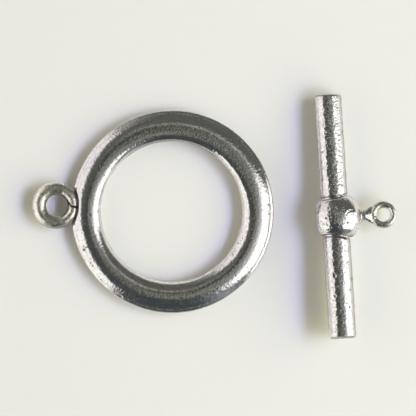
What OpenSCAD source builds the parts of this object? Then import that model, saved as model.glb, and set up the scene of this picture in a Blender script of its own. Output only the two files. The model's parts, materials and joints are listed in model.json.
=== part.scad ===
// Cast toggle clasp: a ring with a side loop, and a bar with a ball and an eye, lying open on a flat surface.
// Millimetres, Z up, the surface at z = 0, the origin in the middle of the two halves.

/* [Ring] */
// Inside diameter of the ring
ring_inner_d = 17.6; // [15:0.1:21]
// Width of the band, from its inner to its outer edge
ring_w = 3.85; // [3:0.05:5]
// From the inner edge of the band to its crown, where it is thickest
crown_in = 1.75; // [1.2:0.05:2.2]
// Thickness of the ring at its crown
ring_t = 2.6; // [2.2:0.1:3.4]

/* [Side loop] */
// Hole of the side loop
loop_bore = 2.7; // [2:0.05:4]
// Thickness of the loop's wire
loop_wire = 1.65; // [1.2:0.05:2]
// How far the loop reaches in over the ring's outer edge
loop_sink = 1.05; // [0.8:0.05:1.3]
// Height of the loop's middle plane above that of the ring
loop_lift = 0.45; // [0:0.05:0.5]
// Place of the loop on the ring, as an angle from the side that faces away from the bar
loop_turn = 3; // [-30:1:30]
// Width of the joint between the two ends of the loop's wire
seam_w = 0.12; // [0.06:0.01:0.25]
// How far inside the wire's centre line the joint turns
seam_in = 0.16; // [0:0.02:0.4]
// How far to the side of the loop's middle the joint turns
seam_side = 0.11; // [0:0.01:0.3]
// Direction of the joint's inner half, from the line out to the ring
seam_slant = 128; // [110:1:150]

/* [Bar] */
// Length of the bar
bar_len = 30.3; // [26:0.1:36]
// Diameter of the bar
bar_d = 3.45; // [2.6:0.05:4]
// Rounding of the bar's two end rims
bar_edge = 0.25; // [0.1:0.05:0.6]
// How far the ball sits below the middle of the bar's length
ball_down = 0.05; // [-1:0.05:1]

/* [Ball] */
// Width of the ball, across the bar and toward the eye
ball_w = 6.1; // [5:0.1:7]
// Straight belt between the ball's two rounded ends, along the bar
ball_belt = 0.2; // [0.2:0.1:2]
// Thickness of the ball, through the plane of the eye
ball_t = 5.2; // [4.6:0.1:6]
// How far the ball's middle lies off the bar's axis, toward the eye
ball_out = 0.26; // [0:0.02:0.8]
// From the bar's axis to the flat on the ball's side where it was filed
ball_trim = 2.45; // [2:0.05:2.7]

/* [Eye] */
// Hole of the eye
eye_bore = 1.65; // [1.2:0.05:2.4]
// Thickness of the eye's wire
eye_wire = 0.9; // [0.7:0.05:1.2]
// Length of the neck that shows between the ball and the eye
neck_len = 1; // [0.8:0.05:2.5]
// From the ball to the neck's waist
waist_out = 0.45; // [0.2:0.05:0.7]
// Diameter of the neck at its waist
neck_d = 1; // [0.7:0.05:1.3]
// Diameter of the neck where it leaves the ball
neck_root_d = 1.6; // [1.35:0.05:2]
// Diameter of the neck where it meets the eye
neck_head_d = 1.3; // [1.3:0.05:1.6]

/* [Place] */
// Gap between the ring and the ball as the two halves lie apart
halves_gap = 5.1; // [3:0.1:12]
// How far the ball lies below the middle of the ring, in plan
bar_below = 0.7; // [-5:0.1:5]
// Lean of the bar in plan, with its upper end toward the ring
bar_lean = 3.4; // [-10:0.1:10]
// Depth of the worn flats under the ball and the bar's upper end, which the bar half stands on
foot = 0.03; // [0.01:0.01:0.06]

/* [Hidden] */
$fn = 96;
metal = [0.72, 0.71, 0.68];
// What the cleaning drill takes off the inside of each small loop, all round
drill_cut = 0.03;
// Spare length of cuts and of pieces that run into one another
spare = 0.5;

// Ring: radii from its axis, and the height of its middle plane when it lies flat
ring_in = ring_inner_d / 2;
ring_out = ring_in + ring_w;
crown_r = ring_in + crown_in;
ring_mid = ring_t / 2;

// Side loop: radius of its wire, of the wire's centre line and of its outer edge
loop_thick = loop_wire / 2;
loop_line = loop_bore / 2 - drill_cut + loop_thick;
loop_out = loop_line + loop_thick;
// Distance from the ring's axis to the loop's
loop_reach = ring_out + loop_out - loop_sink;
// Corner of the stepped joint, measured from the loop's axis
seam_corner = [loop_line - seam_in, -seam_side];

// Bar, ball and eye: radii and places measured from the bar's axis, level with the ball
bar_r = bar_d / 2;
rim_r = bar_r - bar_edge;
bar_up = bar_len / 2 + ball_down;
bar_dn = bar_len / 2 - ball_down;
ball_r = ball_w / 2;
ball_flat = ball_t / 2;
eye_thick = eye_wire / 2;
eye_line = eye_bore / 2 - drill_cut + eye_thick;
eye_x = ball_out + ball_r + neck_len + eye_line + eye_thick;
waist_x = ball_out + ball_r + waist_out;

// The bar half stands on its ball and on the rim of its upper end, with its eye level.
// Each pitch of the bar is followed by a closer one until the two places are level.
first_guess = 3;
rounds = 20;
function ball_low(pitch) = ball_belt / 2 * sin(pitch) + norm([ball_r * sin(pitch), ball_flat * cos(pitch)]);
function next_pitch(pitch) = asin(max(0, (ball_low(pitch) - bar_edge - rim_r * cos(pitch)) / (bar_up - bar_edge)));
function settled(pose, turns) = turns == 0 ? pose : settled(next_pitch(pose), turns - 1);
pitch = settled(first_guess, rounds);
bar_z = ball_low(pitch) - foot;

// The turn of the bar half as a matrix, and where its points and directions go
lean_turn = [[cos(bar_lean), -sin(bar_lean), 0], [sin(bar_lean), cos(bar_lean), 0], [0, 0, 1]];
pitch_turn = [[1, 0, 0], [0, cos(pitch), sin(pitch)], [0, -sin(pitch), cos(pitch)]];
bar_turn = lean_turn * pitch_turn;
// Half the width of a circle of radius r, along direction i, when its axis points along unit vector a
function spread(r, a, i) = r * sqrt(1 - pow(a[i], 2));
bar_axis = bar_turn * [0, 1, 0];
eye_axis = bar_turn * [0, 0, 1];
flat_half = ball_belt / 2 + sqrt(pow(ball_r, 2) - pow(ball_trim + ball_out, 2));
ball_left = ball_trim * cos(bar_lean) + flat_half * abs(sin(bar_lean));

// Plan of the two halves with the ring's middle at [0, 0], and the middle of what they cover
bar_place = [ring_out + halves_gap + ball_left, -bar_below];
loop_place = loop_reach * [-cos(loop_turn), sin(loop_turn)];
far_left = min(loop_place[0] - loop_out, -ring_out);
far_right = bar_place[0] + (bar_turn * [eye_x, 0, 0])[0] + spread(eye_line, eye_axis, 0) + eye_thick;
end_spread = spread(rim_r, bar_axis, 1) + bar_edge;
far_up = max(bar_place[1] + (bar_up - bar_edge) * bar_axis[1] + end_spread, ring_out);
far_down = min(bar_place[1] - (bar_dn - bar_edge) * bar_axis[1] - end_spread, -ring_out);
middle = [far_left + far_right, far_up + far_down] / 2;

// The half of an oval that lies on the side of +X
module half_oval(width, height) {
    intersection() {
        scale([width, height]) circle(1);
        translate([0, -2 * height]) square([2 * width, 4 * height]);
    }
}

module band() {
    rotate_extrude() translate([crown_r, 0]) {
        half_oval(ring_out - crown_r, ring_t / 2);
        mirror([1, 0]) half_oval(crown_r - ring_in, ring_t / 2);
    }
}

module wire_ring(line, thick) {
    rotate_extrude() translate([line, 0]) circle(thick);
}

// The joint of the loop's wire: straight in from the ring, then slanting to the hole
module seam() {
    translate([seam_corner[0], seam_corner[1] - seam_w / 2, -loop_wire]) {
        cube([loop_out, seam_w, 2 * loop_wire]);
        translate([0, seam_w / 2, 0]) rotate(seam_slant)
            translate([0, -seam_w / 2, 0]) cube([loop_thick + spare, seam_w, 2 * loop_wire]);
    }
}

module side_loop() {
    difference() {
        wire_ring(loop_line, loop_thick);
        cylinder(r = loop_bore / 2, h = 2 * loop_wire, center = true);
        seam();
    }
}

module toggle_ring() {
    color(metal) translate([-middle[0], -middle[1], ring_mid]) {
        band();
        rotate(-loop_turn) translate([-loop_reach, 0, loop_lift]) side_loop();
    }
}

// The bar's outline on one side of its axis, with both end rims rounded
module bar_outline() {
    translate([0, -bar_dn]) square([rim_r, bar_len]);
    translate([0, bar_edge - bar_dn]) square([bar_r, bar_len - 2 * bar_edge]);
    for (y = [bar_edge - bar_dn, bar_up - bar_edge]) translate([rim_r, y]) circle(bar_edge);
}

module rod() {
    rotate([-90, 0, 0]) rotate_extrude() bar_outline();
}

module ball() {
    difference() {
        translate([ball_out, 0, 0]) {
            rotate([90, 0, 0]) linear_extrude(ball_belt, center = true) scale([ball_r, ball_flat]) circle(1);
            for (side = [0, 1]) mirror([0, side, 0]) translate([0, ball_belt / 2, 0])
                rotate_extrude(angle = 180) half_oval(ball_r, ball_flat);
        }
        translate([-ball_trim - ball_w, -ball_w, -ball_w]) cube([ball_w, 2 * ball_w, 2 * ball_w]);
    }
}

module neck() {
    start = ball_out + ball_r - spare;
    stop = eye_x - eye_line;
    translate([start, 0, 0]) rotate([0, 90, 0])
        cylinder(d1 = neck_root_d, d2 = neck_d, h = waist_x - start);
    translate([waist_x, 0, 0]) rotate([0, 90, 0])
        cylinder(d1 = neck_d, d2 = neck_head_d, h = stop - waist_x);
}

module bar_half() {
    difference() {
        union() {
            rod();
            ball();
            neck();
            translate([eye_x, 0, 0]) wire_ring(eye_line, eye_thick);
        }
        translate([eye_x, 0, 0]) cylinder(r = eye_bore / 2, h = 2 * neck_head_d, center = true);
    }
}

module toggle_bar() {
    color(metal) difference() {
        translate([bar_place[0] - middle[0], bar_place[1] - middle[1], bar_z])
            rotate([0, 0, bar_lean]) rotate([-pitch, 0, 0]) bar_half();
        translate([bar_place[0] - middle[0] - bar_len, -bar_len, -ball_w]) cube([2 * bar_len, 2 * bar_len, ball_w]);
    }
}

toggle_ring();
toggle_bar();
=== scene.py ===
import json
import math
import bpy
import numpy as np
from mathutils import Matrix, Vector


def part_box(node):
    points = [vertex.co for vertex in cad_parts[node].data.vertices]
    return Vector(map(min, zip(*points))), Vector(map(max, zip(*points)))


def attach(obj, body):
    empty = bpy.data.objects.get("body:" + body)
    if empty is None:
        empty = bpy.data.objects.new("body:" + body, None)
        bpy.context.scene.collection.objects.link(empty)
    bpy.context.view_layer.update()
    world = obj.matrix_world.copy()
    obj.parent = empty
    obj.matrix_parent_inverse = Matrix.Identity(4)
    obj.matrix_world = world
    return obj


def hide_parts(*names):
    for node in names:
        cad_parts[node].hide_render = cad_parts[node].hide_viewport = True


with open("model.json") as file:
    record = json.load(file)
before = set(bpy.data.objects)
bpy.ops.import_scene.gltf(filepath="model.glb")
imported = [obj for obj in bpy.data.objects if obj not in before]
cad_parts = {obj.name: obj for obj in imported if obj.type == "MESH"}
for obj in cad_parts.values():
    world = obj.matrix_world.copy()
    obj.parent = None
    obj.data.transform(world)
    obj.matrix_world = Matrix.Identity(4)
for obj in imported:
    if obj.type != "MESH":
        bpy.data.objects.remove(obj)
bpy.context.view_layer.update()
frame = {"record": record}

# The camera hangs straight above the clasp and looks down, as in the photo, with +Y up the picture.
# The photo shows the clasp at 8 pixels to the millimetre, and its ring is the piece that sets the place.
# Sizes here and below are in millimetres, and MM makes them the metres that Blender needs.
MM = 0.001
PX_PER_MM = 8.0
PHOTO_SIDE_PX = 416
PHOTO_MIDDLE_PX = (208.0, 208.0)
RING_MIDDLE_PX = (172.5, 211.6)
CAMERA_UP = 300.0
SENSOR_W = 36.0
# The nearest and the farthest that the camera sees, in metres
SEEN_FROM = 0.01
SEEN_TO = 10.0
ring_low, ring_high = [np.array(corner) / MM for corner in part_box("toggle_ring")]
ring_out = (ring_high[1] - ring_low[1]) / 2
ring_mid = np.array([ring_high[0] - ring_out, (ring_high[1] + ring_low[1]) / 2,
                     (ring_high[2] + ring_low[2]) / 2])


def photo_place(px, py):
    """The spot in plan that lies under a pixel of the photo."""
    return np.array([ring_mid[0] + (px - RING_MIDDLE_PX[0]) / PX_PER_MM,
                     ring_mid[1] - (py - RING_MIDDLE_PX[1]) / PX_PER_MM])


camera_data = bpy.data.cameras.new("camera")
camera = bpy.data.objects.new("camera", camera_data)
bpy.context.collection.objects.link(camera)
bpy.context.scene.camera = camera
view_x, view_y = photo_place(*PHOTO_MIDDLE_PX)
camera.location = Vector((view_x, view_y, CAMERA_UP)) * MM
camera_data.sensor_width = SENSOR_W
camera_data.lens = SENSOR_W * (CAMERA_UP - ring_mid[2]) * PX_PER_MM / PHOTO_SIDE_PX
camera_data.clip_start = SEEN_FROM
camera_data.clip_end = SEEN_TO


# The ring is cast zinc alloy with an oval section, highest along a crown that lies nearer the hole.
# It was tumbled, plated with silver, darkened all over and polished back, so its faces are soft mirrors
# with shallow waves, and the dark stays in the pits and joints.
CROWN_IN = 1.75
BAND_W = 3.85
BAND_ROUND = 820
BAND_SECTION = 84
# How full the section is at places round the ring, in degrees from the side of the bar: 2 is an oval
INNER_FULLNESS = {-125: 2.3, -60: 2.4, -35: 1.95, 0: 2.3, 40: 3.6, 90: 3.8, 141: 3.1, 180: 2.1, 210: 2.05}
OUTER_FULLNESS = {-120: 2.0, -57: 1.95, -35: 1.9, 0: 1.75, 24: 1.8, 90: 2.0, 180: 2.05}
FULLNESS_BLEND = 9.0
# How much fuller the section is at the outer rim, so that its slope there is even until the rim turns down,
# and where that starts and is full, in degrees of the section from the rim
RIM_FULLNESS = 2.6
RIM_REACH = (30, 8)
# How far the hole lies off the middle of the ring, away from the bar
HOLE_ASIDE = 0.12
# Shallow waves of the skin: height, grain and seed. Polishing drew the last one out round the ring, to this
# length, and this many of it lie in a radian of the section.
BAND_WAVES = [(0.004, 1.9, 11), (0.002, 0.8, 12), (0.0012, 0.34, 13)]
DRAWN_WAVES = [(0.003, 1.0, 14)]
DRAWN_LONG = 7
DRAWN_ACROSS = 5
# Pits: the place as a pixel of the photo, then radius and depth. One has a depth below zero, and stands up.
BAND_PITS = [
    (84.4, 249.6, 0.16, 0.09), (84.1, 246.2, 0.1, 0.06), (90.2, 214.8, 0.14, 0.05),
    (89.0, 217.0, 0.1, -0.03), (114.0, 260.0, 0.1, 0.04), (141.5, 292.0, 0.12, 0.05),
    (169.0, 114.2, 0.1, 0.04), (173.2, 114.4, 0.1, 0.04), (232.7, 254.0, 0.12, 0.05),
    (234.5, 251.0, 0.1, 0.04), (238.0, 243.0, 0.09, 0.04), (121.5, 297.0, 0.12, 0.05),
    (259.5, 170.5, 0.12, 0.04)]
# The ring lies flat on the paper, so the height of its middle is half its thickness
half_thick = ring_mid[2]
crown_r = ring_out - BAND_W + CROWN_IN
# Large odd numbers that scramble the cells of the noise, and the bits that are kept of the outcome
CELL_KEYS = np.array([374761393, 668265263, 1440662683])
SEED_KEY = 1013904223
MIX_KEY = 1274126177
KEPT_BITS = 0xFFFF
# Nothing is divided by less than this
TINY = 1e-9


def lattice_noise(points, grain, seed):
    """Smooth random heights between -1 and 1 at points, with one bump or dip about every grain."""
    cell = points / grain
    base = np.floor(cell).astype(np.int64)
    part = cell - base
    part = part * part * (3 - 2 * part)
    total = np.zeros(points.shape[:-1])
    for corner in np.ndindex(2, 2, 2):
        key = (base + corner) @ CELL_KEYS + seed * SEED_KEY
        key = (key ^ (key >> 13)) * MIX_KEY
        key = key ^ (key >> 16)
        level = (key & KEPT_BITS) / (KEPT_BITS / 2) - 1
        total += level * np.prod(np.where(corner, part, 1 - part), axis=-1)
    return total


def skin_noise(points, layers):
    """Heights at points from layers of noise: each is its height, its grain and its seed."""
    return sum(high * lattice_noise(points, grain, seed) for high, grain, seed in layers)


def rise(low, high, value):
    """A soft step from 0 at low to 1 at high."""
    share = np.clip((value - low) / (high - low), 0, 1)
    return share * share * (3 - 2 * share)


def fullness(table, degrees):
    """Reads a table of fullness round the ring, with the steps between its entries blended."""
    angles, values = zip(*sorted(table.items()))
    around = np.arange(-180, 180, 1.0)
    stepped = np.interp(around, angles, values, period=360)
    spread = np.exp(-((around / FULLNESS_BLEND) ** 2) / 2)
    smooth = np.real(np.fft.ifft(np.fft.fft(stepped) * np.fft.fft(np.fft.ifftshift(spread / spread.sum()))))
    return np.interp(degrees, around, smooth, period=360)


def band_section(psi, turn):
    """Half width and fullness of the band at angle psi round it and angle turn round its section."""
    degrees = np.degrees(psi)
    outside = np.cos(turn) > 0
    from_rim = np.degrees(np.abs(np.arctan2(np.sin(turn), np.cos(turn))))
    outer_full = fullness(OUTER_FULLNESS, degrees) + RIM_FULLNESS * rise(*RIM_REACH, from_rim)
    full = np.where(outside, outer_full, fullness(INNER_FULLNESS, degrees))
    return np.where(outside, BAND_W - CROWN_IN, CROWN_IN + HOLE_ASIDE * np.cos(psi)), full


def band_gap(points):
    """About how far points lie outside the band, negative inside it."""
    flat = points[..., :2] - ring_mid[:2]
    radial = np.hypot(flat[..., 0], flat[..., 1]) - crown_r
    up = (points[..., 2] - ring_mid[2]) / half_thick
    out = radial / np.where(radial > 0, BAND_W - CROWN_IN, CROWN_IN)
    full = band_section(np.arctan2(flat[..., 1], flat[..., 0]), np.arctan2(up, out))[1]
    share = (np.abs(out) ** full + np.abs(up) ** full) ** (1 / full)
    return (1 - 1 / np.maximum(share, TINY)) * np.hypot(radial, up * half_thick)


def full_turn(count):
    """Angles at even steps all the way round."""
    return np.linspace(0, 2 * np.pi, count, endpoint=False)


def grid_of(x, y, z):
    """A grid of points from its three coordinates, each spread over the whole grid."""
    return np.stack(np.broadcast_arrays(x, y, z), -1)


def grid_normals(points, closed_rows=True):
    """Outward directions on a grid of points, from the steps to its neighbours."""
    along = np.roll(points, -1, 0) - np.roll(points, 1, 0) if closed_rows else np.gradient(points, axis=0)
    across = np.roll(points, -1, 1) - np.roll(points, 1, 1)
    normal = np.cross(along, across)
    return normal / np.maximum(np.linalg.norm(normal, axis=-1, keepdims=True), TINY)


def placed_pits(table):
    """A table of pits with its pixels made into places in plan."""
    return [(*photo_place(px, py), radius, deep) for px, py, radius, deep in table]


def pit_depth(points, places):
    """Depth at points of all the pits in places."""
    depth = np.zeros(points.shape[:-1])
    for x, y, radius, deep in places:
        away = np.hypot(points[..., 0] - x, points[..., 1] - y)
        depth += deep * np.exp(-((away / radius) ** 2))
    return depth


def grid_mesh(name, points, poles=False):
    """A closed skin over a grid of points; with poles, its first and last rows close in a point."""
    rows, columns = points.shape[:2]
    if poles:
        middle = points[1:-1].reshape(-1, 3)
        corners = np.vstack([middle, points[0].mean(0), points[-1].mean(0)])
        rows -= 2
    else:
        corners = points.reshape(-1, 3)
    place = np.arange(rows * columns).reshape(rows, columns)
    upper = place if not poles else place[:-1]
    lower = np.roll(place, -1, 0) if not poles else place[1:]
    quads = np.stack([upper, lower, np.roll(lower, -1, 1), np.roll(upper, -1, 1)], -1).reshape(-1, 4)
    faces = quads.tolist()
    if poles:
        first = len(corners) - 2
        last = len(corners) - 1
        faces += [(first, a, b) for a, b in zip(place[0], np.roll(place[0], -1))]
        faces += [(last, b, a) for a, b in zip(place[-1], np.roll(place[-1], -1))]
    mesh = bpy.data.meshes.new(name)
    mesh.from_pydata((corners * MM).tolist(), [], faces)
    mesh.validate()
    thing = bpy.data.objects.new(name, mesh)
    bpy.context.collection.objects.link(thing)
    return thing


psi, turn = np.meshgrid(full_turn(BAND_ROUND), full_turn(BAND_SECTION), indexing="ij")
wide, full = band_section(psi, turn)
reach = (np.abs(np.cos(turn)) ** full + np.abs(np.sin(turn)) ** full) ** (-1 / full)
from_axis = crown_r + wide * np.cos(turn) * reach
band = grid_of(ring_mid[0] + from_axis * np.cos(psi), ring_mid[1] + from_axis * np.sin(psi),
               ring_mid[2] + half_thick * np.sin(turn) * reach)
band_out = grid_normals(band)
drawn = grid_of(crown_r * np.cos(psi) / DRAWN_LONG, crown_r * np.sin(psi) / DRAWN_LONG, turn * DRAWN_ACROSS)
band_pits = placed_pits(BAND_PITS)
band_push = skin_noise(band, BAND_WAVES) + skin_noise(drawn, DRAWN_WAVES)
band_push -= pit_depth(band, band_pits) * (band[..., 2] > ring_mid[2])


# The side loop is a turn of round wire with its two ends butted together against the ring, soldered
# on the ring's slope with its top level with the crown. The joint of the ends and the groove round
# the solder were never polished, so they are nearly black.
LOOP_ROUND = 280
LOOP_SECTION = 60
# Radius of the loop's outside, and how far its middle and the hole's lie off the middle of the mount
LOOP_OUT = 2.94
LOOP_OUT_SHIFT = (-0.02, 0.02)
HOLE_SHIFT = (0.13, -0.04)
WIRE_HALF_HEIGHT = 0.81
# The groove where one piece runs into another
GROOVE = 0.15
GROOVE_W = 0.13
# The joint's line as pixels of the photo, and how far below the wire's middle it fades away
SEAM_PX = [(67.6, 200.8), (72.2, 206.6), (78.5, 207.2)]
SEAM_W = 0.085
SEAM_DEEP = 0.34
SEAM_FADE = 0.3
# The raised edge that one end of the wire has along the joint
LIP_PX = [(64.5, 194.0), (67.6, 197.6), (71.6, 204.6)]
LIP_W = 0.07
LIP_UP = 0.05
LOOP_SKIN = [(0.012, 1.1, 21), (0.006, 0.5, 22)]
# How far a cast skin lies inside the even one, and how far a piece stays inside its solid's box where it
# is cut back to it
SKIN_IN = 0.012
BOX_IN = 0.003
loop_mount = next(m for m in frame["record"]["mounts"] if m["name"] == "loop_hole")
loop_mid = np.array(loop_mount["pos_m"]) / MM
hole_r = loop_mount["dims"]["r_mm"]
hole_mid = loop_mid[:2] + HOLE_SHIFT


def loop_wire(phi):
    """Distance of the wire's middle line from the hole's middle, and its half width, at angle phi."""
    ray = np.stack([np.cos(phi), np.sin(phi)], -1)
    shift = loop_mid[:2] + LOOP_OUT_SHIFT - hole_mid
    toward = ray @ shift
    outer = toward + np.sqrt(LOOP_OUT ** 2 - shift @ shift + toward ** 2)
    return (outer + hole_r) / 2, (outer - hole_r) / 2


def loop_gap(points):
    """About how far points lie outside the loop's wire, negative inside it."""
    flat = points[..., :2] - hole_mid
    line, half = loop_wire(np.arctan2(flat[..., 1], flat[..., 0]))
    radial = (np.hypot(flat[..., 0], flat[..., 1]) - line) / half
    up = (points[..., 2] - loop_mid[2]) / WIRE_HALF_HEIGHT
    return (np.hypot(radial, up) - 1) * half


def line_gap(points, corners_px):
    """Distance in plan from points to a bent line given by photo pixels."""
    corners = np.array([photo_place(*corner) for corner in corners_px])
    nearest = np.full(points.shape[:-1], np.inf)
    for start, stop in zip(corners[:-1], corners[1:]):
        run = stop - start
        share = np.clip((points[..., :2] - start) @ run / (run @ run), 0, 1)
        off = points[..., :2] - start - share[..., None] * run
        nearest = np.minimum(nearest, np.hypot(off[..., 0], off[..., 1]))
    return nearest


def groove(gap):
    """Depth of the groove in one piece, from the gap to the piece that it runs into."""
    return GROOVE * np.exp(-((gap / GROOVE_W) ** 2))


def seam(points):
    """How far points lie in the joint of the wire's ends, from 0 to 1."""
    above = np.clip((points[..., 2] - loop_mid[2]) / SEAM_FADE + 1, 0, 1)
    return np.exp(-((line_gap(points, SEAM_PX) / SEAM_W) ** 2)) * above


phi, turn = np.meshgrid(full_turn(LOOP_ROUND), full_turn(LOOP_SECTION), indexing="ij")
line, half = loop_wire(phi)
from_hole = line + half * np.cos(turn)
loop = grid_of(hole_mid[0] + from_hole * np.cos(phi), hole_mid[1] + from_hole * np.sin(phi),
               loop_mid[2] + WIRE_HALF_HEIGHT * np.sin(turn))
loop_out = grid_normals(loop)
lip = np.exp(-((line_gap(loop, LIP_PX) / LIP_W) ** 2)) * (loop[..., 2] > loop_mid[2])
loop_push = skin_noise(loop, LOOP_SKIN) - SKIN_IN
loop_push += LIP_UP * lip - SEAM_DEEP * seam(loop) - groove(band_gap(loop))
band_push -= groove(loop_gap(band))
band += band_out * band_push[..., None]
loop += loop_out * loop_push[..., None]
for skin in (band, loop):
    skin[..., 2] = np.maximum(skin[..., 2], BOX_IN)


def unite(base, others):
    """Fuses closed skins into one body."""
    for other in others:
        cut = base.modifiers.new("unite", "BOOLEAN")
        cut.operation = "UNION"
        cut.solver = "MANIFOLD"
        cut.object = other
    fused = bpy.data.meshes.new_from_object(base.evaluated_get(bpy.context.evaluated_depsgraph_get()))
    base.modifiers.clear()
    base.data = fused
    for other in others:
        bpy.data.objects.remove(other)


# Faces that meet at more than this many degrees keep a crisp edge between them
CREASE = 42
# A face counts as flank where it points up by less than this share, and in full this much below it
FLANK_FROM = 0.75
FLANK_FADE = 0.45
# How dark the painted shade is on the flank toward -Y: how far a face has to point that way, and how much
# more until it is dark in full
MINUS_Y_SHADE = 0.5
MINUS_Y_SHADE_FROM = 0.66
MINUS_Y_SHADE_FADE = 0.16


def finish_skin(thing, dark, matt, rubbed):
    """Smooth shading with crisp creases, and the layers that the silver's material reads at each point."""
    mesh = thing.data
    mesh.shade_smooth()
    mesh.set_sharp_from_angle(angle=math.radians(CREASE))
    where = np.empty(len(mesh.vertices) * 3)
    mesh.vertices.foreach_get("co", where)
    where = where.reshape(-1, 3) / MM
    facing = np.empty(len(mesh.vertices) * 3)
    mesh.vertices.foreach_get("normal", facing)
    facing = facing.reshape(-1, 3)
    flank = np.clip((FLANK_FROM - np.abs(facing[:, 2])) / FLANK_FADE, 0, 1)
    # Faces toward -Y get painted shade, kept in the same layer as the dark finish of the joints
    minus_y_shade = MINUS_Y_SHADE * np.clip((-facing[:, 1] - MINUS_Y_SHADE_FROM) / MINUS_Y_SHADE_FADE, 0, 1)
    patina_and_shade = np.clip(np.maximum(dark(where), minus_y_shade), 0, 1)
    for name, values in (("flank", flank), ("patina_and_shade", patina_and_shade), ("matt", matt(where))):
        layer = mesh.attributes.new(name, "FLOAT", "POINT")
        layer.data.foreach_set("value", values.astype(np.float32))
    worn = mesh.attributes.new("rubbed", "FLOAT_VECTOR", "POINT")
    worn.data.foreach_set("vector", rubbed(where).astype(np.float32).ravel())


# The dirt in the groove round the solder: how strong it is, where it ends and how wide it is
RING_DIRT = 1.7
DIRT_END = 0.25
RING_DIRT_W = 0.19
# The dirt in the ring's pits, for each millimetre of depth, and in the joint of the wire's ends
RING_PIT_DIRT = 14
SEAM_DIRT = 1.3
# What counts as the wire's skin, and how dark the wall of the loop's hole is painted on the side toward the
# ring: out from the wall of the hole, and out from its middle toward the ring
WIRE_SKIN = 0.03
HOLE_WALL_DARK = 0.9
HOLE_WALL_DARK_OUT = (0.3, 0.08)
HOLE_WALL_DARK_SIDE = (0.2, 1.0)
# The matt skin of the loop: how it fades in at the wire's skin, and away from the band
MATT_ON_WIRE = (0.06, -0.02)
MATT_OFF_BAND = (-0.05, 0.1)
# Polishing streaks: width and length on the band, then width on the loop and how many to a radian round it
BAND_STREAK_W = 0.3
BAND_STREAK_LEN = 2.6
LOOP_STREAK_W = 0.2
LOOP_STREAKS = 1.6


def ring_dark(points):
    """How dark the ring and its loop are: dark finish in the groove, joint and pits, and the hole's wall
    painted darker.
    """
    joint = np.exp(-(band_gap(points) ** 2 + loop_gap(points) ** 2) / RING_DIRT_W ** 2)
    on_loop = loop_gap(points) < WIRE_SKIN
    holes = pit_depth(points, band_pits) * RING_PIT_DIRT * (points[..., 2] > ring_mid[2])
    off_hole = points[..., :2] - hole_mid
    wall = np.hypot(off_hole[..., 0], off_hole[..., 1]) - hole_r
    inside = rise(*HOLE_WALL_DARK_OUT, wall) * rise(*HOLE_WALL_DARK_SIDE, off_hole[..., 0]) * on_loop
    in_groove = np.clip(RING_DIRT * joint - DIRT_END, 0, 1)
    return in_groove + seam(points) * on_loop * SEAM_DIRT + holes + HOLE_WALL_DARK * inside


def ring_matt(points):
    """The loop's wire took little polish."""
    return rise(*MATT_ON_WIRE, loop_gap(points)) * rise(*MATT_OFF_BAND, band_gap(points))


def ring_rubbed(points):
    """Places stretched along the band and the wire, for the streaks that polishing round them left."""
    flat = points[:, :2] - ring_mid[:2]
    radial = np.hypot(flat[:, 0], flat[:, 1])
    across = (radial - crown_r) / BAND_STREAK_W
    streaks = np.stack([across, *(flat.T / radial * crown_r / BAND_STREAK_LEN)], -1)
    flat = points[:, :2] - hole_mid
    radial = np.hypot(flat[:, 0], flat[:, 1])
    across = (radial + points[:, 2]) / LOOP_STREAK_W
    round_loop = np.stack([across, *(flat.T / radial * LOOP_STREAKS)], -1)
    return np.where(ring_matt(points)[:, None] > 0.5, round_loop, streaks)


ring_half = grid_mesh("ring_half", band)
side_loop = grid_mesh("side_loop", loop)
unite(ring_half, [side_loop])
finish_skin(ring_half, ring_dark, ring_matt, ring_rubbed)

SILVER = (0.80, 0.795, 0.785, 1)
ROSY = (0.96, 0.88, 0.88, 1)
TARNISH = (0.52, 0.515, 0.485, 1)
YELLOWED = (0.84, 0.83, 0.69, 1)
# Black for the dirt in joints and pits, and for the painted shade
BLACK_DIRT_AND_SHADE = (0.035, 0.027, 0.02, 1)
# Pores: from full to none in a cell, then cells and patches to the millimetre and how softly patches end
PORE_EDGE = (0.1, 0.32)
WIDE_PORES = (1.7, 0.7, 0.08)
FINE_PORES = (3.6, 1.1, 0.1)
PORE_DARK = 0.85
PORE_DEEP = 0.8
# Where in the noise the streaks and the grains of tarnish start and are full, and how strong streaks are
STREAK_RANGE = (0.42, 0.66)
STREAK_TARNISH = 0.5
GRAIN_RANGE = (0.44, 0.68)
# How yellow the matt skin is on top, and the share of flank where that ends
YELLOW = 0.75
YELLOW_END = 0.4
# Clouds of duller metal, to the millimetre and in the noise, and the roughness that they, the dark, the
# flank and the matt skin add
DULL_CLOUDS = 1.6
DULL_RANGE = (0.3, 0.75)
CLOUD_DULL = 0.1
DARK_DULL = 0.35
FLANK_DULL = 0.2
MATT_DULL = 0.16
# The bump's grain against that of the tarnish, and how much rougher it is on the matt skin
BUMP_GRAIN = 0.75
MATT_BUMP = 1.2


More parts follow.
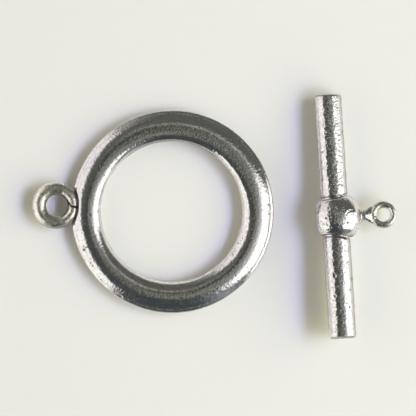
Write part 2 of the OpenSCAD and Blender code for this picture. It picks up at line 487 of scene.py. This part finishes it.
def antiqued_silver(name, grain, bump_height, mottle, pore_from, roughness):
    """Silver plate over cast metal: clouds of light tarnish, fine speckle, black in the joints and painted
    shade.
    """
    made = bpy.data.materials.new(name)
    made.use_nodes = True
    nodes = made.node_tree.nodes
    links = made.node_tree.links
    shader = nodes["Principled BSDF"]
    shader.inputs["Metallic"].default_value = 1.0
    place = nodes.new("ShaderNodeTexCoord").outputs["Object"]

    def layer(attribute, output="Fac"):
        node = nodes.new("ShaderNodeAttribute")
        node.attribute_name = attribute
        return node.outputs[output]

    def cloud(scale, detail, rough=0.5, along=None):
        texture = nodes.new("ShaderNodeTexNoise")
        texture.inputs["Scale"].default_value = scale
        texture.inputs["Detail"].default_value = detail
        texture.inputs["Roughness"].default_value = rough
        links.new(along or place, texture.inputs["Vector"])
        return texture.outputs["Fac"]

    def ranged(value, low, high, to_low, to_high):
        node = nodes.new("ShaderNodeMapRange")
        node.interpolation_type = "SMOOTHSTEP"
        for socket, number in zip(("From Min", "From Max", "To Min", "To Max"), (low, high, to_low, to_high)):
            node.inputs[socket].default_value = number
        links.new(value, node.inputs["Value"])
        return node.outputs["Result"]

    def mixed(share, low, high):
        node = nodes.new("ShaderNodeMix")
        node.data_type = "RGBA"
        for socket, value in ((node.inputs[6], low), (node.inputs[7], high)):
            if isinstance(value, tuple):
                socket.default_value = value
            else:
                links.new(value, socket)
        links.new(share, node.inputs[0])
        return node.outputs[2]

    def sums(operation, first, second):
        node = nodes.new("ShaderNodeMath")
        node.operation = operation
        links.new(first, node.inputs[0])
        if isinstance(second, float):
            node.inputs[1].default_value = second
        else:
            links.new(second, node.inputs[1])
        return node.outputs["Value"]

    def pores(per_mm, patches_per_mm, patch_end):
        cells = nodes.new("ShaderNodeTexVoronoi")
        cells.inputs["Scale"].default_value = per_mm / MM
        links.new(place, cells.inputs["Vector"])
        here = ranged(cells.outputs["Distance"], *PORE_EDGE, 1.0, 0.0)
        patches = ranged(cloud(patches_per_mm / MM, 2), pore_from, pore_from + patch_end, 0.0, 1.0)
        return sums("MULTIPLY", here, patches)

    flank = layer("flank")
    matt = layer("matt")
    pore = sums("MAXIMUM", pores(*WIDE_PORES), pores(*FINE_PORES))
    # The dark layer holds the dark finish in joints and pits and the painted shade on some faces and edges
    dark = sums("MAXIMUM", layer("patina_and_shade"), sums("MULTIPLY", pore, PORE_DARK))
    streaks = ranged(cloud(1.0, 3, 0.6, layer("rubbed", "Vector")), *STREAK_RANGE, 0.0, STREAK_TARNISH)
    grains = ranged(cloud(grain / MM, 4, 0.65), *GRAIN_RANGE, 0.0, mottle)
    tone = mixed(sums("MAXIMUM", streaks, grains), mixed(flank, SILVER, ROSY), TARNISH)
    yellow = sums("MULTIPLY", matt, ranged(flank, 0.0, YELLOW_END, YELLOW, 0.0))
    tone = mixed(yellow, tone, YELLOWED)
    links.new(mixed(dark, tone, BLACK_DIRT_AND_SHADE), shader.inputs["Base Color"])
    dull = ranged(cloud(DULL_CLOUDS / MM, 3), *DULL_RANGE, roughness, roughness + CLOUD_DULL)
    duller = sums("ADD", sums("MULTIPLY", dark, DARK_DULL), sums("MULTIPLY", flank, FLANK_DULL))
    duller = sums("ADD", duller, sums("MULTIPLY", matt, MATT_DULL))
    links.new(sums("ADD", dull, duller), shader.inputs["Roughness"])
    bumps = sums("SUBTRACT", cloud(grain * BUMP_GRAIN / MM, 1), sums("MULTIPLY", pore, PORE_DEEP))
    bumps = sums("MULTIPLY", bumps, sums("ADD", sums("MULTIPLY", matt, MATT_BUMP), 1.0))
    bump = nodes.new("ShaderNodeBump")
    bump.inputs["Distance"].default_value = bump_height * MM
    links.new(bumps, bump.inputs["Height"])
    links.new(bump.outputs["Normal"], shader.inputs["Normal"])
    return made


ring_silver = antiqued_silver("ring_silver", grain=4.6, bump_height=0.02, mottle=0.7, pore_from=0.57,
                              roughness=0.08)
ring_half.data.materials.clear()
ring_half.data.materials.append(ring_silver)
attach(ring_half, "root")
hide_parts("toggle_ring")


# The bar is a plain cast rod, a little flattened where the two halves of its mould met, with rims
# that tumbling has rounded. It carries the same plate as the ring, but a coarser skin with more pits.
BAR_LEAN = math.radians(3.4)
BAR_R = 1.725
BAR_LEN = 30.3
BAR_EDGE = 0.25
# The ball lies this far below the middle of the bar's length, and off the bar's axis toward the eye
BALL_DOWN = 0.05
BALL_OUT = 0.26
BALL_HALF = (3.05, 3.05, 2.55)
# From the ball's middle to the flat that was filed on its side
BALL_TRIM = 2.71
NECK_LEN = 1.0
EYE_HALF_WIRE = 0.45
# What the cleaning drill took off the inside of the eye, all round
DRILLED = 0.03
# Fullness of the bar's section, where 2 is round: its underside, then the left and right of its top
UNDER_FULL = 2.0
LEFT_FULL = 2.3
RIGHT_FULL = 2.22
# The rim of the raised end is filed to a slant: its width and height, and how it runs from in to out
LOW_RIM = (0.42, 0.3)
LOW_RIM_BEND = [(0, 0), (0.1, 0.04), (0.5, 0.4), (0.85, 0.76), (0.95, 0.88), (1, 1)]
# Points round the bar, and along its side, each end and the rounded rim
BAR_ROUND = 96
SIDE_STEPS = 252
END_STEPS = 9
RIM_STEPS = 7
# The bar's skin is rough only where it lies further out than the flat of its ends, by this much
SKIN_FROM = 0.1
eye_mount = next(m for m in frame["record"]["mounts"] if m["name"] == "eye_hole")
eye_r = eye_mount["dims"]["r_mm"]
eye_line = eye_r - DRILLED + EYE_HALF_WIRE
eye_x = BALL_OUT + BALL_HALF[0] + NECK_LEN + eye_line + EYE_HALF_WIRE
lean = Matrix.Rotation(BAR_LEAN, 3, "Z")
level = lean.transposed() @ Vector(eye_mount["axis"])
bar_turn = np.array(lean @ Matrix.Rotation(-math.atan2(level.y, level.z), 3, "X"))
bar_mid = np.array(eye_mount["pos_m"]) / MM - bar_turn @ (eye_x, 0, 0)


def rod_reach(side, up):
    """Distance from the bar's axis to its skin; its upper half is a little fuller than round."""
    full = np.where(up > 0, np.where(side < 0, LEFT_FULL, RIGHT_FULL), UNDER_FULL)
    return BAR_R * np.maximum(np.abs(side) ** full + np.abs(up) ** full, TINY) ** (-1 / full)


def rod_gap(points):
    """How far points lie outside the bar, negative inside it."""
    far = np.hypot(points[..., 0], points[..., 2])
    return far - rod_reach(points[..., 0] / np.maximum(far, TINY), points[..., 2] / np.maximum(far, TINY))


end_up = BAR_LEN / 2 + BALL_DOWN
end_down = BAR_LEN / 2 - BALL_DOWN
rim_r = BAR_R - BAR_EDGE
corner = np.linspace(0, np.pi / 2, RIM_STEPS)
cap = np.linspace(0, rim_r, END_STEPS)[:-1]
side = np.linspace(-end_down + LOW_RIM[1], end_up - BAR_EDGE, SIDE_STEPS)[1:-1]
half_outline = [(r, -end_down) for r in cap[:-1]]
half_outline += [(BAR_R - LOW_RIM[0] * (1 - x), -end_down + LOW_RIM[1] * y) for x, y in LOW_RIM_BEND]
half_outline += [(BAR_R, y) for y in side]
half_outline += [(rim_r + BAR_EDGE * math.cos(a), end_up - BAR_EDGE * (1 - math.sin(a))) for a in corner]
half_outline += [(r, end_up) for r in cap[::-1]]
radius, along = np.array(half_outline).T
around = full_turn(BAR_ROUND)
plump = rod_reach(np.cos(around), np.sin(around)) / BAR_R
rod = grid_of(radius[:, None] * np.cos(around) * plump, along[:, None],
              radius[:, None] * np.sin(around) * plump)
rod_out = rod * (1, 0, 1) / np.maximum(radius, TINY)[:, None, None]
on_side = (radius > rim_r + SKIN_FROM)[:, None]


# The ball is cast in one with the bar, a little fuller than an oval. It is filed flat on the side away
# from the eye, where the metal was poured in. Narrow dark grooves mark where the bar runs into it.
BALL_ROUND = 150
BALL_ROWS = 110
# How full the ball is, how much more on its shoulders along the bar, and how crisp the filed flat's edge is
BALL_FULL = 2.1
BALL_SHOULDER_FULL = 0.3
FILED_EDGE = 22


def ball_reach(direction):
    """Distance from the ball's middle to its skin along unit directions."""
    x, y, z = np.moveaxis(np.abs(direction), -1, 0)
    a, b, c = BALL_HALF
    full = BALL_FULL + BALL_SHOULDER_FULL * y ** 2 * z
    round_skin = ((x / a) ** full + (y / b) ** full + (z / c) ** full) ** (-1 / full)
    filed = np.maximum(-direction[..., 0], 0) / BALL_TRIM
    return (round_skin ** -FILED_EDGE + filed ** FILED_EDGE) ** (-1 / FILED_EDGE)


def ball_gap(points):
    """How far points lie outside the ball, negative inside it."""
    off = points - (BALL_OUT, 0, 0)
    far = np.linalg.norm(off, axis=-1)
    return far - ball_reach(off / np.maximum(far, TINY)[..., None])


tilt = np.linspace(0, np.pi, BALL_ROWS)[:, None]
spin = full_turn(BALL_ROUND)
direction = grid_of(np.sin(tilt) * np.cos(spin), -np.cos(tilt), np.sin(tilt) * np.sin(spin))
ball = direction * ball_reach(direction)[..., None] + (BALL_OUT, 0, 0)


# The neck and the eye are cast on the ball too. The neck is pinched where it leaves the ball and
# flares into the eye, which takes a jump ring.
EYE_ROUND = 150
EYE_SECTION = 44
NECK_ROUND = 64
NECK_STEPS = 54
# Places along the neck: distance out from the ball's side, half width and half depth
NECK = [(-0.55, 0.95, 0.9), (-0.08, 0.88, 0.76), (0.08, 0.76, 0.6), (0.2, 0.64, 0.46), (0.27, 0.6, 0.42),
        (0.34, 0.62, 0.6), (0.42, 0.66, 0.66), (0.6, 0.74, 0.6), (0.8, 0.88, 0.515), (1.0, 1.0, 0.43),
        (1.2, 1.08, 0.35), (1.4, 1.1, 0.27)]
spin_eye, turn_eye = np.meshgrid(full_turn(EYE_ROUND), full_turn(EYE_SECTION), indexing="ij")
from_eye = eye_line + DRILLED / 2 + (EYE_HALF_WIRE - DRILLED / 2) * np.cos(turn_eye)
eye = grid_of(eye_x + from_eye * np.cos(spin_eye), from_eye * np.sin(spin_eye),
              EYE_HALF_WIRE * np.sin(turn_eye))
neck_x, neck_w, neck_d = np.array(NECK).T
neck_x = neck_x + BALL_OUT + BALL_HALF[0]
steps = np.linspace(neck_x[0], neck_x[-1], NECK_STEPS)[:, None]
spin_neck = full_turn(NECK_ROUND)
neck = grid_of(steps, np.interp(steps, neck_x, neck_w) * np.cos(spin_neck),
               np.interp(steps, neck_x, neck_d) * np.sin(spin_neck))
neck = np.concatenate([neck[:1] * (1, 0, 0), neck, neck[-1:] * (1, 0, 0)])


# The bar, its ball, neck and eye come out of the mould as one piece, with an orange-peel skin and pits
# from the casting. Dirt stays in the pits and in the grooves at the ball and neck. A thin dark line is
# painted along the right side and round the upper end, and a painted contact shadow along the left edge.
BALL_PITS = [
    (325.2, 218.2, 0.13, 0.07), (322.2, 224.0, 0.12, 0.06), (327.3, 208.2, 0.13, 0.05),
    (319.5, 221.0, 0.12, 0.04), (326.4, 224.6, 0.1, 0.05), (350.0, 210.6, 0.08, 0.03),
    (352.5, 210.2, 0.08, 0.03), (327.5, 230.0, 0.1, 0.04)]
BAR_PITS = [
    (325.2, 138.9, 0.1, 0.05), (326.9, 157.1, 0.11, 0.05), (320.7, 168.7, 0.1, 0.04),
    (335.6, 161.3, 0.09, 0.04), (341.0, 132.4, 0.12, 0.05), (333.1, 274.0, 0.13, 0.09),
    (333.2, 275.8, 0.13, 0.08), (333.7, 295.0, 0.13, 0.06), (330.7, 286.5, 0.1, 0.04),
    (350.4, 278.0, 0.11, 0.05), (343.2, 271.7, 0.09, 0.04), (331.7, 299.4, 0.1, 0.04),
    (340.5, 281.5, 0.1, 0.03), (326.3, 130.0, 0.09, 0.03), (334.0, 125.5, 0.09, 0.03),
    (322.0, 152.0, 0.08, 0.03)]
# Height and grain of each layer of the cast skin, and what is left of it on the eye
CAST_SKIN = [(0.008, 1.5), (0.006, 0.6), (0.004, 0.24)]
EYE_SKIN = 0.6
bar_places = placed_pits(BALL_PITS + BAR_PITS)


def bar_pits(points):
    """Depth of the pits of the bar and the ball, which show on the side that lies up."""
    lying = points @ bar_turn.T + bar_mid
    return pit_depth(lying, bar_places) * (points[..., 2] > 0)


def cast_skin(points, seed):
    """Coarse orange-peel of the casting."""
    layers = [(high, grain, seed + step) for step, (high, grain) in enumerate(CAST_SKIN)]
    return skin_noise(points, layers) - SKIN_IN


def pushed(points, out, amount):
    """Points moved out along their directions by an amount each."""
    return points + out * amount[..., None]


rod = pushed(rod, rod_out, (cast_skin(rod, 31) - bar_pits(rod) - groove(ball_gap(rod))) * on_side)
ball_out = grid_normals(ball, closed_rows=False)
ball_out *= np.sign(np.sum(ball_out * direction, -1, keepdims=True) + TINY)
ball_push = cast_skin(ball, 41) - bar_pits(ball) - groove(rod_gap(ball))
ball_push[0] = 0
ball_push[-1] = 0
ball = pushed(ball, ball_out, ball_push)
eye = pushed(eye, grid_normals(eye), cast_skin(eye, 51) * EYE_SKIN)

bar_half = grid_mesh("bar_half", rod, poles=True)
ball_skin = grid_mesh("ball", ball, poles=True)
neck_skin = grid_mesh("neck", neck, poles=True)
unite(bar_half, [ball_skin, neck_skin, grid_mesh("eye", eye)])
laid = np.empty(len(bar_half.data.vertices) * 3)
bar_half.data.vertices.foreach_get("co", laid)
laid = laid.reshape(-1, 3)

# The dirt in the grooves at the ball, and in the pits for each millimetre of depth
BAR_DIRT = 1.6
BAR_DIRT_W = 0.15
BAR_PIT_DIRT = 12
# The dirt in the pinch of the neck: its place out from the ball, its width, how dark it is on top and how
# much darker on the sides, and where the sides start
PINCH_OUT = 0.27
PINCH_W = 0.09
PINCH_TOP = 0.1
PINCH_SIDE = 0.8
PINCH_SIDES = (0.3, 0.6)
# How dark the line painted along the right side of the bar is, with its place and width, and the weaker
# painted contact shadow along the left edge, with where it starts and is full and how far down it shows
RIGHT_LINE = 0.6
RIGHT_LINE_X = 1.55
RIGHT_LINE_W = 0.06
LEFT_EDGE_SHADOW = 0.15
LEFT_EDGE_SHADOW_X = (-1.66, -1.71)
LEFT_EDGE_SHADOW_LOW = -0.4
# How dark the bar is painted round its upper end, and how far from the end that starts and is full
UPPER_END_DARK = 0.7
UPPER_END_DARK_IN = (0.2, 0.08)
# How far these lines waver: height, grain and seed
RAGGED = [(0.05, 0.5, 61)]
# How matt the neck and the eye are, and where that starts and is full, out from the ball
NECK_MATT = 0.6
NECK_MATT_OUT = (0.2, 0.5)
BAR_STREAKS = (0.5, 1.6, 0.5)


def bar_dark(points):
    """How dark the bar, its ball, neck and eye are: dark finish in grooves and pits, painted lines and
    shadow.
    """
    joint = np.exp(-(rod_gap(points) ** 2 + ball_gap(points) ** 2) / BAR_DIRT_W ** 2)
    off_pinch = (points[..., 0] - BALL_OUT - BALL_HALF[0] - PINCH_OUT) / PINCH_W
    pinch = PINCH_TOP + PINCH_SIDE * rise(*PINCH_SIDES, np.abs(points[..., 1]))
    shade = np.clip(BAR_DIRT * joint - DIRT_END, 0, 1) + bar_pits(points) * BAR_PIT_DIRT
    shade += pinch * np.exp(-(off_pinch ** 2))
    ragged = skin_noise(points, RAGGED)
    on_rod = ball_gap(points) > 0
    # A dark line painted along the right side, and a painted contact shadow along the left edge
    off_line = (points[..., 0] - RIGHT_LINE_X + ragged) / RIGHT_LINE_W
    shade += on_rod * (points[..., 2] > 0) * RIGHT_LINE * np.exp(-(off_line ** 2))
    left_edge_shadow = LEFT_EDGE_SHADOW * rise(*LEFT_EDGE_SHADOW_X, points[..., 0] + ragged / 2)
    shade += on_rod * (points[..., 2] > LEFT_EDGE_SHADOW_LOW) * left_edge_shadow
    start, stop = UPPER_END_DARK_IN
    return shade + UPPER_END_DARK * rise(end_up - start, end_up - stop, points[..., 1] + ragged)


def bar_matt(points):
    """The neck and the eye took little polish."""
    return NECK_MATT * rise(*NECK_MATT_OUT, points[..., 0] - BALL_OUT - BALL_HALF[0])


def bar_rubbed(points):
    """Places stretched along the bar, for its polishing streaks."""
    return points / BAR_STREAKS


finish_skin(bar_half, bar_dark, bar_matt, bar_rubbed)
laid = (laid / MM) @ bar_turn.T + bar_mid
bar_low, bar_high = [np.array(corner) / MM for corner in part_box("toggle_bar")]
laid = np.clip(laid, bar_low + BOX_IN, bar_high - BOX_IN)
bar_half.data.vertices.foreach_set("co", (laid * MM).ravel())
bar_half.data.update()
bar_silver = antiqued_silver("bar_silver", grain=3.8, bump_height=0.046, mottle=0.68, pore_from=0.57,
                             roughness=0.04)
bar_half.data.materials.clear()
bar_half.data.materials.append(bar_silver)
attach(bar_half, "root")
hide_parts("toggle_bar")


# The clasp lies on a sheet of plain off-white paper, which is matt and takes soft shadows.
# It is one flat sheet, much wider than the camera sees from above, given here in metres.
PAPER = (0.845, 0.855, 0.78, 1)
PAPER_HALF = 0.59
PAPER_ROUGHNESS = 0.9
paper_mesh = bpy.data.meshes.new("paper")
paper_mesh.from_pydata([(x * PAPER_HALF, y * PAPER_HALF, 0) for x, y in ((-1, -1), (1, -1), (1, 1), (-1, 1))],
                       [], [(0, 1, 2, 3)])
paper = bpy.data.objects.new("paper", paper_mesh)
bpy.context.collection.objects.link(paper)
paper_finish = bpy.data.materials.new("paper_finish")
paper_finish.use_nodes = True
paper_shader = paper_finish.node_tree.nodes["Principled BSDF"]
paper_shader.inputs["Base Color"].default_value = PAPER
paper_shader.inputs["Roughness"].default_value = PAPER_ROUGHNESS
paper_shader.inputs["Specular IOR Level"].default_value = 0.0
paper_mesh.materials.append(paper_finish)


# The lights are two painted domes. This first one is the room that the metal mirrors: a bright window on
# the right that fades upward, a weaker one on the left, and dim walls and ceiling between them, which give
# the metal its dark stripe. Azimuths and elevations are in degrees, and the domes' radii in metres.
DOME_STEP = 1.5
DOME_LOWEST = 0.5
MIRRORED_ROOM_R = 0.58
# The window on the right: its light at each elevation, its colour and its two sides
WINDOW_FADE = ([30, 54, 57, 60, 63, 69, 75, 80, 84], [1.7, 1.55, 1.32, 1.02, 0.8, 0.52, 0.4, 0.3, 0])
WINDOW_WHITE = (1.0, 0.995, 0.985)
WINDOW_FROM = -58
WINDOW_TO = 25
# How soft its sides are low down, and how much softer toward its top
SIDE_SOFT = 7
SIDE_SOFTER = 23
SOFTER_UP = (56, 84)
# How much narrower it gets toward the paper on one side, and how many times that on the other
SIDE_IN = 12
SIDE_IN_DOWN = (52, 18)
SIDE_IN_TIMES = 1.6
# The window on the left: its top edge, its light at each azimuth, its ends, and its colour at both ends
LEFT_TOP = ([118, 135, 150, 165, 180, 195, 210, 225, 234], [40, 47, 52, 55.5, 56, 55.5, 53, 48, 43])
LEFT_TOP_SOFT = 4
LEFT_LEVEL = ([130, 150, 170, 195, 230], [0.94, 0.98, 1.07, 1.22, 1.2])
LEFT_FROM = (120, 132)
LEFT_TO = (228, 237)
LEFT_ROSE = (1.07, 1.0, 1.02)
LEFT_CREAM = (1.02, 1.0, 0.96)
ROSE_TO_CREAM = (150, 215)
# The walls, and the light along their foot and in two upright strips
NORTH = (0.124, 0.125, 0.112)
SOUTH = (0.067, 0.074, 0.079)
SOUTH_TO_NORTH = (-35, 35)
GLEAM = (1.0, 1.0, 0.93)
COOL_GLEAM = (0.93, 1.0, 1.02)
FOOT_LIGHT = 0.1
FOOT_HEIGHT = 7
STRIP_W = 11
RIGHT_STRIP = 0.25
RIGHT_STRIP_AT = -58
BACK_STRIP = 0.2
BACK_STRIP_AT = 122
BACK_STRIP_TOP = (20, 50)
# A thin arc of light over the far wall: its height and its light at each azimuth
ARC_HEIGHT = ([30, 45, 60, 75, 105, 120], [57, 64, 70, 74, 74, 70])
ARC_LEVEL = ([22, 35, 60, 90, 120, 138], [0, 0.46, 0.42, 0.26, 0.17, 0])
ARC_W = 4
# The ceiling, brighter on the side of the window, and where it meets the walls
CEILING = (0.96, 0.97, 0.85)
CEILING_LEVEL = 0.175
CEILING_MORE = 0.105
CEILING_SPLIT = 0.06
WINDOW_SIDE_AT = -35
CEILING_FROM = (70, 82)
azimuth, height = np.meshgrid(np.arange(-180, 180, DOME_STEP), np.arange(DOME_LOWEST, 90, DOME_STEP),
                              indexing="ij")
turned = azimuth % 360


def light_dome(name, radius, glow):
    """A dome of light round the clasp, painted with a glow at each azimuth and elevation."""
    flat = np.cos(np.radians(height))
    spots = radius * grid_of(flat * np.cos(np.radians(azimuth)), flat * np.sin(np.radians(azimuth)),
                             np.sin(np.radians(height)))
    spot = np.arange(azimuth.size).reshape(azimuth.shape)
    beside = np.roll(spot, -1, 0)
    panels = np.stack([spot[:, :-1], beside[:, :-1], beside[:, 1:], spot[:, 1:]], -1).reshape(-1, 4)
    mesh = bpy.data.meshes.new(name)
    mesh.from_pydata(spots.reshape(-1, 3).tolist(), [], panels.tolist())
    paint = mesh.attributes.new("glow", "FLOAT_COLOR", "POINT")
    colors = np.concatenate([glow, np.ones_like(glow[..., :1])], -1)
    paint.data.foreach_set("color", colors.astype(np.float32).ravel())
    dome = bpy.data.objects.new(name, mesh)
    bpy.context.collection.objects.link(dome)
    dome.visible_camera = False
    shine = bpy.data.materials.new(name + "_glow")
    shine.use_nodes = True
    nodes = shine.node_tree.nodes
    links = shine.node_tree.links
    nodes.remove(nodes["Principled BSDF"])
    lamp = nodes.new("ShaderNodeEmission")
    painted = nodes.new("ShaderNodeAttribute")
    painted.attribute_name = "glow"
    links.new(painted.outputs["Color"], lamp.inputs["Color"])
    links.new(lamp.outputs["Emission"], nodes["Material Output"].inputs["Surface"])
    mesh.materials.append(shine)
    return dome


def strip(value, middle, width):
    """A soft strip, 1 at its middle and fading to both sides."""
    return np.exp(-((value - middle) / width) ** 2)


def coloured(levels, colour):
    """Levels of light, all of one colour."""
    return levels[..., None] * colour


soft = SIDE_SOFT + SIDE_SOFTER * rise(*SOFTER_UP, height)
side_in = SIDE_IN * rise(*SIDE_IN_DOWN, height)
window_from = WINDOW_FROM + SIDE_IN_TIMES * side_in
window_to = WINDOW_TO - side_in
window_side = rise(window_from - soft, window_from + soft, azimuth)
window_side *= 1 - rise(window_to - soft, window_to + soft, azimuth)
window_glow = coloured(window_side * np.interp(height, *WINDOW_FADE), WINDOW_WHITE)

left_top = np.interp(turned, *LEFT_TOP)
left_share = rise(*LEFT_FROM, turned) * (1 - rise(*LEFT_TO, turned))
left_share *= 1 - rise(left_top - LEFT_TOP_SOFT, left_top + LEFT_TOP_SOFT, height)
rosy = (1 - rise(*ROSE_TO_CREAM, turned))[..., None]
left_glow = coloured(left_share * np.interp(turned, *LEFT_LEVEL), rosy * LEFT_ROSE + (1 - rosy) * LEFT_CREAM)

northward = rise(*SOUTH_TO_NORTH, azimuth)[..., None]
walls = northward * NORTH + (1 - northward) * SOUTH
walls += coloured(FOOT_LIGHT * np.exp(-height / FOOT_HEIGHT), GLEAM)
walls += coloured(RIGHT_STRIP * strip(azimuth, RIGHT_STRIP_AT, STRIP_W), COOL_GLEAM)
back_strip = strip(turned, BACK_STRIP_AT, STRIP_W) * (1 - rise(*BACK_STRIP_TOP, height))
walls += coloured(BACK_STRIP * back_strip, GLEAM)
arc = np.interp(azimuth, *ARC_LEVEL) * strip(height, np.interp(azimuth, *ARC_HEIGHT), ARC_W)
toward_window = np.cos(np.radians(height)) * np.cos(np.radians(azimuth - WINDOW_SIDE_AT))
ceiling = coloured(CEILING_LEVEL + CEILING_MORE * np.tanh(toward_window / CEILING_SPLIT), CEILING)
overhead = rise(*CEILING_FROM, height)[..., None]
room_glow = overhead * ceiling + (1 - overhead) * walls + coloured(arc, GLEAM)
room_glow = np.maximum(left_glow, room_glow)
mirrored_room = light_dome("mirrored_room", MIRRORED_ROOM_R, np.maximum(window_glow, room_glow))
mirrored_room.visible_diffuse = False


# The second dome lights the paper. It has a lamp high in the window and a weaker light below it, over the
# same dim room. The blue part of the lamp starts higher up than the warm part, which gives the shadows
# their warm core and soft lavender edge.
PAPER_LAMP_R = 1.1
LAMP_AZIMUTH = -8.0
LAMP_HALF = 36.0
LAMP_RISE = ([33, 36.5, 40, 44.5, 48.5, 51.5, 54.5, 57.5, 60.5], [0, 3.1, 6.0, 8.4, 10.4, 11.2, 9.8, 5.1, 0])
LAMP_RISE_BLUE = ([41, 44.5, 47.5, 50, 53, 56, 59, 61], [0.3, 6.7, 18.0, 21.8, 19.6, 11.9, 2.8, 0])
LOW_FROM = (-64, -50)
LOW_TO = (24, 44)
LOW_RISE = ([7, 12, 18, 24, 29, 34, 38], [0, 1.7, 3.8, 5.0, 4.6, 2.0, 0])
LOW_RISE_BLUE = ([6, 11, 17, 24, 29, 33], [0, 0.8, 2.0, 3.0, 2.2, 0])
ROOM_SHARE = (1.23, 1.19, 1.08)
lamp_side = np.exp(-np.abs((azimuth - LAMP_AZIMUTH) / LAMP_HALF) ** 3)
low_side = rise(*LOW_FROM, azimuth) * (1 - rise(*LOW_TO, azimuth))
warm = lamp_side * np.interp(height, *LAMP_RISE) + low_side * np.interp(height, *LOW_RISE)
blue = lamp_side * np.interp(height, *LAMP_RISE_BLUE) + low_side * np.interp(height, *LOW_RISE_BLUE)
paper_lamp = light_dome("paper_lamp", PAPER_LAMP_R, np.stack([warm, warm, blue], -1) + room_glow * ROOM_SHARE)
paper_lamp.visible_glossy = False

# A plain pale room lies behind it all, and shows only where a low view looks past the paper.
# The picture is shown in plain standard colours.
BACKDROP = (0.62, 0.62, 0.60, 1)
room = bpy.data.worlds.new("room")
bpy.context.scene.world = room
room.use_nodes = True
room.node_tree.nodes["Background"].inputs["Color"].default_value = BACKDROP
bpy.context.scene.view_settings.view_transform = "Standard"
